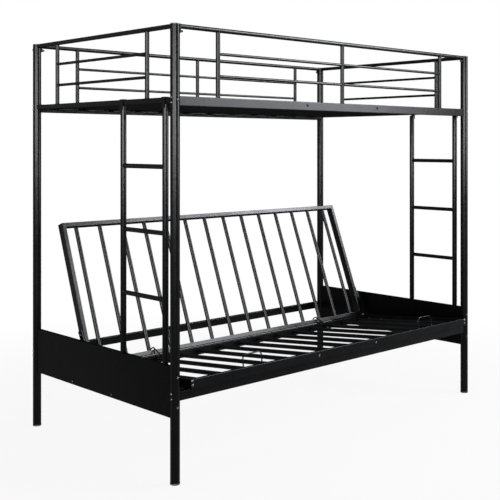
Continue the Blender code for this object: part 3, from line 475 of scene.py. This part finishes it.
STILE, STILE_ROUND, STILE_GAP = 0.0125, 0.0040, 0.003
FRONT_STILE, REAR_STILE = 0.456, 0.175
RUNG_COUNT, RUNG_FIRST, RUNG_PITCH = 3, 0.703, 0.2605
FIT_GAP = 0.0003
HOOK_SHEET, HOOK_WIDE, HOOK_CORNER, HOOK_BEND = 0.0022, 0.024, 0.0007, 0.0022
HOOK_TAIL, HOOK_LIP = 0.018, 0.011
HOOK_WELD, HOOK_BEAD, HOOK_SINK = 0.0075, 0.0014, 0.0004
for side, sx in SIDES:
    x = sx * POST_X
    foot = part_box(f"ladder_{side}")[0].z
    ladder = Shells()
    top = END_TOP - END_SIDE - STILE_GAP
    stiles = (CENTRE_Y - FRONT_STILE, CENTRE_Y - REAR_STILE)
    profile, marks = box_profile(HOOK_SHEET, HOOK_WIDE, HOOK_CORNER, 2)
    bend = np.linspace(0, math.pi / 2, 6)
    wide = END_SIDE / 2 + FIT_GAP + HOOK_SHEET / 2
    high = END_TOP + FIT_GAP + HOOK_SHEET / 2
    outer = [(wide, top - HOOK_TAIL), (wide, high - HOOK_BEND)]
    outer += [(wide - HOOK_BEND * (1 - math.cos(b)), high - HOOK_BEND * (1 - math.sin(b)))
              for b in bend[1:]]
    outer += [(-wide + HOOK_BEND * (1 - math.sin(b)), high - HOOK_BEND * (1 - math.cos(b)))
              for b in bend[:-1]]
    outer += [(-wide, high - HOOK_BEND), (-wide, high - HOOK_LIP)]
    for y in stiles:
        round_tube(ladder, (x, y, foot), (x, y, top), STILE, 32, STILE_ROUND)
        path = [(x + sx * u, y, v) for u, v in outer]
        carried(ladder, profile, marks, path, (0, 1, 0))
        weld(ladder, (x + sx * (wide - HOOK_SINK), y, top - HOOK_TAIL / 2), (sx, 0, 0),
             HOOK_WELD, bead=HOOK_BEAD)
    for step in range(RUNG_COUNT):
        z = RUNG_FIRST + RUNG_PITCH * step
        round_tube(ladder, (x, stiles[0], z), (x, stiles[1], z), TUBE, 28)
        for y, way in ((stiles[0], 1), (stiles[1], -1)):
            weld(ladder, (x, y, z), (0, way, 0), TUBE, saddle=STILE, run=(0, 0, 1))
    ladder.piece(f"ladder_tubes_{side}", "bed", "black_paint", steel_black, [f"ladder_{side}"])


# End panels: 1.5 mm sheet folded over at the top and open below, between the two posts
# of each end, with a plate inside near each end. The coat is darker and duller than the
# frame's.

SHEET_TONES = ((0.0026, 0.0026, 0.0028), (0.0040, 0.0040, 0.0043), (0.012, 0.012, 0.013))
sheet_black = powder_coat("panel_powder_coat", SHEET_TONES, 0.28, 0.02, 700.0)
SHEET, FOLD, PANEL_COPE = 0.0015, 0.0025, 0.008
PLATE_INSET, PLATE_HALF, PLATE_SHORT, PLATE_CORNER = 0.017, 0.006, 0.002, 0.0010
PLATE_SINK = 0.0002
for side, _ in SIDES:
    low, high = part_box(f"end_panel_{side}")
    x, _, plate_z = middle(f"end_panel_{side}")
    wide = (high.x - low.x) / 2
    ends = (CENTRE_Y - POST_Y + PANEL_COPE, CENTRE_Y + POST_Y - PANEL_COPE)
    bend = np.linspace(0, math.pi / 2, 6)
    outer = [(wide, low.z)] + [(wide - FOLD * (1 - math.cos(b)), high.z - FOLD * (1 - math.sin(b)))
                               for b in bend]
    inner = [(wide - SHEET, low.z)]
    inner += [(wide - SHEET - (FOLD - SHEET) * (1 - math.cos(b)),
               high.z - SHEET - (FOLD - SHEET) * (1 - math.sin(b))) for b in bend]
    right = np.array(outer)
    left = right[::-1] * (-1, 1)
    under = np.array(inner)
    section = np.concatenate([right, left, under * (-1, 1), under[::-1]])
    panel = Shells()
    points = np.stack([np.stack([x - section[:, 0], np.full(len(section), y), section[:, 1]], 1)
                       for y in ends])
    panel.grid(points)
    for y in (ends[0] + PLATE_INSET, ends[1] - PLATE_INSET):
        box_tube(panel, (x, y - PLATE_HALF, plate_z), (x, y + PLATE_HALF, plate_z),
                 2 * (wide - SHEET + PLATE_SINK), high.z - low.z - PLATE_SHORT, PLATE_CORNER)
    panel.piece(f"panel_sheet_{side}", "bed", "panel_paint", sheet_black, [f"end_panel_{side}"])


# Lower rails: rectangular tube from post to post, front and back, that ties the frame
# together and carries the front of the futon seat. Bolted through the posts.

RAIL_Z, RAIL_TALL = 0.3387, 0.038
for line, sy in LINES:
    y = CENTRE_Y + sy * POST_Y
    rail = Shells()
    box_tube(rail, (-POST_X, y, RAIL_Z), (POST_X, y, RAIL_Z), DECK_WIDE, RAIL_TALL)
    rail.piece(f"rail_low_{line}", "bed", "black_paint", steel_black, [f"lower_rail_{line}"])


# Futon seat: a mitred frame of rectangular tube with fourteen round bars let in at half
# its depth. It lies on the front shoes and falls 5.84 degrees to the rear at rest.

def tilted(shells, origin, angle):
    """Turns every point about X by an angle, then moves it to an origin."""
    cosine, sine = math.cos(angle), math.sin(angle)
    turn = np.array([[1, 0, 0], [0, cosine, -sine], [0, sine, cosine]])
    shells.points = [p @ turn.T + origin for p in shells.points]


def mitred_frame(shells, half, near, far, wide, deep, corner=0.0022):
    """Rectangular ring with mitred corners. A profile point (inward u, height v) runs round
    the rectangle (half - u, near + u) to (half - u, far - u), so every corner is a mitre."""
    profile, marks = box_profile(wide, deep, corner)
    inward, height = profile[:, 0] + wide / 2, profile[:, 1] - deep / 2
    rows = []
    for east, north in ((1, 0), (1, 1), (0, 1), (0, 0)):
        across = (half - inward) if east else (inward - half)
        along = (far - inward) if north else (near + inward)
        rows.append(np.stack([across, along, height], 1))
    shells.grid(np.array(rows)[:, ::-1], marks[::-1], loop=True)


hinge = np.array([j for j in frame["joints"] if j["name"] == "back_fold"][0]["pos_m"])
SEAT_TILT, BACK_LEAN = math.radians(5.84), math.radians(69.34)
HALF, SEAT_DEEP, BACK_TALL, HINGE_GAP = 0.9285, 0.6984, 0.6626, 0.003
BAR_COUNT, BAR_PITCH = 14, 0.1304
FUTON_TALL, FUTON_AXIS = 0.038, -0.019
FUTON_WELD, FUTON_BEAD = TUBE - 0.0003, 0.0015
MITRE_BEAD, MITRE_LOW, MITRE_HIGH = 0.0020, -0.035, -0.003


def futon_frame(shells, near, far, corner=0.0022):
    """Frame and bars in their own plane: sleeping surface at height zero, tubes below it."""
    mitred_frame(shells, HALF, near, far, DECK_WIDE, FUTON_TALL, corner)
    low, high = near + DECK_WIDE, far - DECK_WIDE
    for index in range(BAR_COUNT):
        x = (index - (BAR_COUNT - 1) / 2) * BAR_PITCH
        round_tube(shells, (x, low - BITE, FUTON_AXIS), (x, high + BITE, FUTON_AXIS), TUBE)
        for y, way in ((low, 1), (high, -1)):
            weld(shells, (x, y, FUTON_AXIS), (0, way, 0), FUTON_WELD, bead=FUTON_BEAD)
    for x in (-HALF + DECK_WIDE, HALF - DECK_WIDE):
        for y in (low, high):
            carried(shells, circle(MITRE_BEAD, 8), None,
                    [(x, y, MITRE_LOW), (x, y, MITRE_HIGH)], (0, 1, 0))


seat_black = powder_coat("seat_powder_coat", FRAME_TONES, 0.28, 0.03, 800.0)
seat = Shells()
futon_frame(seat, -SEAT_DEEP, -HINGE_GAP)
tilted(seat, hinge, -SEAT_TILT)
seat.piece("seat_tubes", "seat", "black_paint", seat_black, ["seat_frame"])


# Futon back: the same frame, leaning on the hinge line. It folds down flat behind the
# seat as the seat is pulled forward.

BACK_CORNER = 0.0012
back = Shells()
futon_frame(back, HINGE_GAP, BACK_TALL, BACK_CORNER)
tilted(back, hinge, BACK_LEAN)
back.piece("back_tubes", "back", "black_paint", steel_black, ["back_frame"])


# Mattress stops: 6 mm wire bent cold and welded on. Two hoops stand on the front rail of
# the seat, and two wires reach from the back's bottom rail over the rear of the mattress.

def wire(shells, path, radius, across):
    """Round wire along a path in one plane, square to across, with flat ends."""
    carried(shells, circle(radius, 14), None, path, across)


def rounded_path(corners, radius, steps=7):
    """Polyline whose inner corners become arcs: a quadratic curve from radius before each
    corner to radius after it, with the corner as its control point."""
    corners = np.array(corners, float)
    points = [corners[0]]
    for before, corner, after in zip(corners[:-2], corners[1:-1], corners[2:]):
        a = corner + unit(before - corner) * min(radius, np.linalg.norm(before - corner) * 0.5)
        b = corner + unit(after - corner) * min(radius, np.linalg.norm(after - corner) * 0.5)
        t = np.linspace(0, 1, steps)[:, None]
        points += list((1 - t) ** 2 * a + 2 * t * (1 - t) * corner + t ** 2 * b)
    points.append(corners[-1])
    return np.array(points)


# Radius of the wire and of the legs' thinner wire, then their welds on the tubes.
WIRE, LEG = 0.003, 0.0026
FOOT_WELD, FOOT_BEAD, FOOT_LIFT = 0.0024, 0.0011, 0.0006
HOOP_X, HOOP_HALF, HOOP_TALL = 0.590, 0.053, 0.0510
HOOP_FOOT, HOOP_BEND, HOOK_ROUND = 0.0001, 0.021, 0.008
HOOK_X = {"left": -0.573, "right": 0.543}
# The hook in the back's own plane: how far up from the hinge line, and out of its face.
HOOK_FOOT_OUT, HOOK_FRONT_UP = -0.0297, 0.0303
HOOK_BENDS = [(HOOK_FRONT_UP, -0.0214), (0.0333, -0.0050)]
HOOK_REACH = [(-0.0379, 0.0657), (-0.0469, 0.0627)]
for side, sx in SIDES:
    hoop = Shells()
    left, right = sx * HOOP_X - HOOP_HALF, sx * HOOP_X + HOOP_HALF
    y = -SEAT_DEEP + DECK_WIDE / 2
    path = rounded_path([(left, y, HOOP_FOOT), (left, y, HOOP_TALL), (right, y, HOOP_TALL),
                         (right, y, HOOP_FOOT)], HOOP_BEND)
    wire(hoop, path, WIRE, (0, 1, 0))
    for foot in (left, right):
        weld(hoop, (foot, y, FOOT_LIFT), (0, 0, 1), FOOT_WELD, bead=FOOT_BEAD)
    tilted(hoop, hinge, -SEAT_TILT)
    hoop.piece(f"stop_hoop_{side}", "seat", "black_paint", steel_black, [f"seat_stop_{side}"])

    hook = Shells()
    x = HOOK_X[side]
    rail_top, front = HINGE_GAP + DECK_WIDE, WIRE + FIT_GAP
    bends = ([(rail_top + FIT_GAP, HOOK_FOOT_OUT)] + HOOK_BENDS + [(HOOK_FRONT_UP, front)]
             + HOOK_REACH)
    wire(hook, rounded_path([(x, up, out) for up, out in bends], HOOK_ROUND), WIRE, (1, 0, 0))
    wire(hook, [(x, HINGE_GAP + WIRE, front), (x, HOOK_FRONT_UP, front)], LEG, (1, 0, 0))
    weld(hook, (x, rail_top + FOOT_LIFT, HOOK_FOOT_OUT), (0, 1, 0), FOOT_WELD, bead=FOOT_BEAD)
    tilted(hook, hinge, BACK_LEAN)
    hook.piece(f"stop_hook_{side}", "back", "black_paint", steel_black, [f"back_stop_{side}"])


# Hinge plates, shoe brackets and ramp tracks: 3 mm plate, cut, folded and coated like
# the frame. Their solids stay and get a slightly rougher coat.

plate_black = powder_coat("plate_powder_coat", FRAME_TONES, 0.32, 0.05, 900.0)
for side, _ in SIDES:
    for node in ("seat_hinge_plate_", "back_hinge_plate_", "shoe_bracket_", "ramp_track_"):
        nodes[node + side].data.materials[0] = plate_black


# Front shoes and rear glides: natural nylon, moulded. They carry the seat over the front
# rail and along the ramp tracks at the ends, and keep their solids.

nylon_white = moulded_plastic("moulded_nylon", (0.21, 0.205, 0.19), 0.46, 900.0)
for side, _ in SIDES:
    nodes[f"front_shoe_{side}"].data.materials[0] = nylon_white
    nodes[f"rear_glide_{side}"].data.materials[0] = nylon_white


# Bolts: black zinc-plated steel with low button heads and a hexagon socket. Two hold each
# rail end through its post, one each deck end tube, two each panel end, and the guard
# bolts end in domed cap nuts on the tabs. Small ones hold the slats and the futon parts.

def plated_steel(name, dark, light, roughness):
    """Plated steel: metal whose roughness and tone follow fine turning marks and stains."""
    material, shader, make = new_finish(name, 1.0, 0.5)
    place = make.node("TexCoord", {}, {}, out=3)
    marks = make.node("TexNoise", {}, {"Vector": place, "Scale": 1400.0, "Detail": 3.0})
    stain = make.node("TexNoise", {}, {"Vector": place, "Scale": 210.0, "Detail": 3.0})
    tone = make.node("Mix", {"data_type": "RGBA"}, {
        0: stain.between(0.38, 0.64), 6: (*dark, 1), 7: (*light, 1)}, out=2)
    bump = make.node("Bump", {}, {"Height": marks, "Strength": 0.25, "Distance": 0.0001})
    feed(material.node_tree, shader, tone, roughness + (marks - 0.5) * 0.18, bump)
    return material


bolt_black = plated_steel("black_zinc_bolts", (0.022, 0.022, 0.024), (0.048, 0.048, 0.050), 0.34)
bolt_dull = plated_steel("dull_bolts", (0.004, 0.004, 0.0045), (0.009, 0.009, 0.0095), 0.42)
pin_steel = plated_steel("zinc_pins", (0.42, 0.42, 0.41), (0.58, 0.58, 0.57), 0.30)


def button_bolt(shells, place, out, radius, tall):
    """Button head: a dome turned about the bolt, then the wall and floor of its socket,
    whose rows bend into a hexagon."""
    rows = [(0.94, -0.55, 0), (1.0, -0.1, 0), (1.0, 0.14, 0), (0.97, 0.30, 0), (0.88, 0.58, 0),
            (0.74, 0.82, 0), (0.60, 0.95, 0), (0.52, 1.0, 0), (0.46, 1.0, 1), (0.43, 0.93, 1),
            (0.43, 0.30, 1), (0.20, 0.24, 1)]
    turned(shells, [(radius * r, tall * h) for r, h, _ in rows], place, out, 24,
           [six for _, _, six in rows])


def cap_nut(shells, place, out, across, length):
    """Domed nut: a hexagon with chamfered ends that turns into a dome."""
    rows = [(0.92, 0.0, 0), (1.0, 0.05, 1), (1.0, 0.42, 1), (0.93, 0.50, 0.4), (0.86, 0.54, 0),
            (0.82, 0.70, 0), (0.70, 0.84, 0), (0.50, 0.94, 0), (0.26, 0.99, 0), (0.06, 1.0, 0)]
    turned(shells, [(across / 2 * r, length * h) for r, h, _ in rows], place, out, 24,
           [six for _, _, six in rows])


# Heads are a radius and a height, and low heads stay inside the outer size of the bed.
GUARD_HEAD, GUARD_SHANK, SHANK_IN_HEAD, SHANK_IN_NUT = (0.0060, 0.0034), 0.0028, 0.0005, 0.003
NUT_ACROSS, NUT_LENGTH, NUT_STAND_OFF = 0.0118, 0.0165, 0.0036
for side, sx in SIDES:
    for line, _ in LINES:
        _, y, z = middle(f"guard_bolt_{line}_{side}")
        outer = POST_X + POST_RADIUS + FIT_GAP
        inner = POST_X - POST_RADIUS - NUT_STAND_OFF
        bolt = Shells()
        button_bolt(bolt, (sx * outer, y, z), (sx, 0, 0), *GUARD_HEAD)
        cap_nut(bolt, (sx * inner, y, z), (-sx, 0, 0), NUT_ACROSS, NUT_LENGTH)
        round_tube(bolt, (sx * (outer + SHANK_IN_HEAD), y, z),
                   (sx * (inner - SHANK_IN_NUT), y, z), GUARD_SHANK, 12)
        bolt.piece(f"bolt_guard_{line}_{side}", "bed", "bolt_steel", bolt_dull,
                   [f"guard_bolt_{line}_{side}"])

SIDE_BOLT_ZS = (1.4925, 1.4735, 0.3500, 0.3300)
END_BOLT_ZS = (1.4850, 0.4120, 0.2960)
SIDE_HEAD, FRONT_HEAD, REAR_HEAD = (0.0056, 0.0032), (0.0056, 0.0026), (0.0056, 0.0009)
HEAD_OUT = POST_RADIUS - 0.0002
post_bolts = Shells()
for _, sx in SIDES:
    for _, sy in LINES:
        x, y = sx * POST_X, CENTRE_Y + sy * POST_Y
        for z in SIDE_BOLT_ZS:
            button_bolt(post_bolts, (x + sx * HEAD_OUT, y, z), (sx, 0, 0), *SIDE_HEAD)
        head = FRONT_HEAD if sy < 0 else REAR_HEAD
        for z in END_BOLT_ZS:
            button_bolt(post_bolts, (x, y + sy * HEAD_OUT, z), (0, sy, 0), *head)
post_bolts.piece("post_bolts", "bed", "bolt_steel", bolt_black)

SLAT_BOLT_X, SLAT_BOLT_Z, SLAT_HEAD = 0.241, 1.483, (0.0058, 0.0030)
slat_bolts = Shells()
for _, sy in LINES:
    for x in (-SLAT_BOLT_X, SLAT_BOLT_X):
        button_bolt(slat_bolts, (x, CENTRE_Y + sy * (POST_Y + DECK_WIDE / 2), SLAT_BOLT_Z),
                    (0, sy, 0), *SLAT_HEAD)
slat_bolts.piece("slat_bolts", "bed", "bolt_steel", bolt_dull)

PANEL_BOLT_YS, PANEL_BOLT_Z, PANEL_HEAD = (0.198, -0.101), 0.265, (0.0046, 0.0024)
panel_bolts = Shells()
for _, sx in SIDES:
    for y in PANEL_BOLT_YS:
        button_bolt(panel_bolts, (sx * (POST_X + DECK_WIDE / 2), CENTRE_Y + y, PANEL_BOLT_Z),
                    (sx, 0, 0), *PANEL_HEAD)
panel_bolts.piece("panel_bolts", "bed", "bolt_steel", bolt_black)

RAIL_BOLT_X, RAIL_HEAD = 0.196, (0.0050, 0.0014)
CORNER_BOLT_X, CORNER_HEADS = 0.9195, ((-0.0072, (0.0054, 0.0022)), (-0.0240, (0.0054, 0.0009)))
PLATE_HEAD, INNER_HEAD = (0.0046, 0.0022), (0.0044, 0.0024)
SEAT_PLATE_FACE, SEAT_PLATE_YS = HALF + 0.0033, (-0.150, -0.060)
seat_bolts = Shells()
for x in (-RAIL_BOLT_X, RAIL_BOLT_X):
    button_bolt(seat_bolts, (x, -SEAT_DEEP, FUTON_AXIS), (0, -1, 0), *RAIL_HEAD)
for sx in (-1, 1):
    for z, head in CORNER_HEADS:
        button_bolt(seat_bolts, (sx * CORNER_BOLT_X, -SEAT_DEEP, z), (0, -1, 0), *head)
    for y in SEAT_PLATE_YS:
        button_bolt(seat_bolts, (sx * SEAT_PLATE_FACE, y, FUTON_AXIS), (sx, 0, 0), *PLATE_HEAD)
        button_bolt(seat_bolts, (sx * (HALF - DECK_WIDE), y, FUTON_AXIS), (-sx, 0, 0),
                    *INNER_HEAD)
tilted(seat_bolts, hinge, -SEAT_TILT)
seat_bolts.piece("seat_bolts", "seat", "bolt_steel", bolt_black)

BACK_PLATE_FACE, BACK_PLATE_YS = HALF + 0.0066, (0.145, 0.070)
back_bolts = Shells()
for sx in (-1, 1):
    for y in BACK_PLATE_YS:
        button_bolt(back_bolts, (sx * BACK_PLATE_FACE, y, FUTON_AXIS), (sx, 0, 0), *PLATE_HEAD)
tilted(back_bolts, hinge, BACK_LEAN)
back_bolts.piece("back_bolts", "back", "bolt_steel", bolt_black)
for side, _ in SIDES:
    nodes[f"hinge_pin_{side}"].data.materials[0] = pin_steel


# The studio: a white floor that fades into a white surround. Two plain soft lamps light the
# bed from the front right and from above. Four more, two on the right and two on the left,
# show only in the gloss, as pale bands along the tubes.

def looked_at(make):
    """1 for camera rays, gloss rays and rays that came through something clear, else 0."""
    sight = make.node("LightPath", {}, {}, out=0)
    gloss = make.node("LightPath", {}, {}, out=3)
    through = make.node("LightPath", {}, {}, out=6)
    seen = make.node("Math", {"operation": "MAXIMUM"}, {0: sight, 1: gloss})
    return make.node("Math", {"operation": "MAXIMUM"}, {0: seen, 1: through})


def studio_floor():
    """White floor: diffuse near the bed for its shadow, plain white further out."""
    material = bpy.data.materials.new("studio_floor")
    material.use_nodes = True
    tree = material.node_tree
    tree.nodes.clear()
    make = Link(tree)
    place = make.node("TexCoord", {}, {}, out=3)
    away = make.node("VectorMath", {"operation": "LENGTH"}, {0: place}, out=1)
    seen = looked_at(make)
    matte = make.node("BsdfDiffuse", {}, {"Color": (0.80, 0.80, 0.80, 1)})
    white = make.node("Emission", {}, {"Color": (1, 1, 1, 1), "Strength": 1.0})
    shade = make.node("MixShader", {}, {0: seen * (0.90 + away.between(1.2, 3.0) * 0.10),
                                        1: matte, 2: white})
    out = tree.nodes.new("ShaderNodeOutputMaterial")
    tree.links.new(shade.socket, out.inputs["Surface"])
    return material


FLOOR_REACH, FLOOR_SIDES, FLOOR_Z = (1.0, 2.0, 4.0, 9.0, 30.0), 64, -0.0004
rings = [np.insert(circle(reach, FLOOR_SIDES), 2, FLOOR_Z, axis=1) for reach in FLOOR_REACH]
faces = [list(range(FLOOR_SIDES))]
for ring in range(len(FLOOR_REACH) - 1):
    start = ring * FLOOR_SIDES
    beyond = start + FLOOR_SIDES
    for i in range(FLOOR_SIDES):
        after = (i + 1) % FLOOR_SIDES
        faces.append([start + i, beyond + i, beyond + after, start + after])
floor_mesh = bpy.data.meshes.new("floor")
floor_mesh.from_pydata(np.concatenate(rings).tolist(), [], faces)
floor_mesh.materials.append(studio_floor())
floor = bpy.data.objects.new("floor", floor_mesh)
bpy.context.scene.collection.objects.link(floor)

world = bpy.data.worlds.new("white_surround")
bpy.context.scene.world = world
world.use_nodes = True
SURROUND_SEEN, SURROUND_LIGHT = 1.0, 0.25
seen = looked_at(Link(world.node_tree))
backdrop = world.node_tree.nodes["Background"]
backdrop.inputs["Color"].default_value = (1, 1, 1, 1)
strength = seen * (SURROUND_SEEN - SURROUND_LIGHT) + SURROUND_LIGHT
world.node_tree.links.new(strength.socket, backdrop.inputs["Strength"])


def softbox(name, place, aim, wide, tall, power, sheen_only=False, tint=(1, 1, 1)):
    """Rectangular area lamp at a place, facing a point. A lamp for sheen only shows in the
    gloss of the paint and leaves the level of the diffuse light as it is."""
    lamp = bpy.data.lights.new(name, "AREA")
    lamp.shape = "RECTANGLE"
    lamp.size, lamp.size_y, lamp.energy = wide, tall, power
    lamp.color = tint
    lit = bpy.data.objects.new(name, lamp)
    bpy.context.scene.collection.objects.link(lit)
    way = unit(np.asarray(aim, float) - np.asarray(place, float))
    side = unit(np.cross(way, (0, 0, 1)))
    up = np.cross(side, way)
    turned_to = np.eye(4)
    turned_to[:3] = np.stack([side, up, -way, place], 1)
    lit.matrix_world = Matrix(turned_to.tolist())
    lit.visible_diffuse = not sheen_only


COOL = (0.95, 0.985, 1.05)
softbox("front_soft", (3.4, -3.8, 3.0), (0.0, 0.0, 1.0), 2.0, 1.6, 150)
softbox("top_soft", (0.2, -0.6, 4.8), (0.0, 0.1, 0.8), 3.0, 2.4, 60)
softbox("sheen_low_right", (3.5, -4.6, 1.95), (0.0, 0.0, 1.4), 2.8, 1.5, 430, True, COOL)
softbox("sheen_high_right", (9.2, -8.3, 7.5), (0.0, 0.0, 0.9), 4.5, 3.5, 5600, True, COOL)
softbox("sheen_left", (-7.6, -4.9, 3.0), (0.0, 0.0, 1.3), 12.5, 3.0, 4900, True)
softbox("sheen_left_core", (-4.3, -7.9, 3.0), (0.0, 0.0, 1.3), 1.8, 3.0, 520, True)

# The photograph's camera: its place from the middle of the posts, and its turn to the right.
SENSOR, LENS, SHIFT_UP = 36.0, 66.906, -0.21027
CAMERA_X, CAMERA_Y, CAMERA_Z, CAMERA_TURN = -3.216104, -3.333228, 1.309902, -0.7525
camera_data = bpy.data.cameras.new("photo_camera")
camera_data.sensor_width = SENSOR
camera_data.lens = LENS
camera_data.shift_y = SHIFT_UP
camera = bpy.data.objects.new("photo_camera", camera_data)
camera.location = (CAMERA_X, CAMERA_Y + CENTRE_Y, CAMERA_Z)
camera.rotation_euler = (math.pi / 2, 0, CAMERA_TURN)
bpy.context.scene.collection.objects.link(camera)
bpy.context.scene.camera = camera
bpy.context.scene.view_settings.view_transform = "Standard"
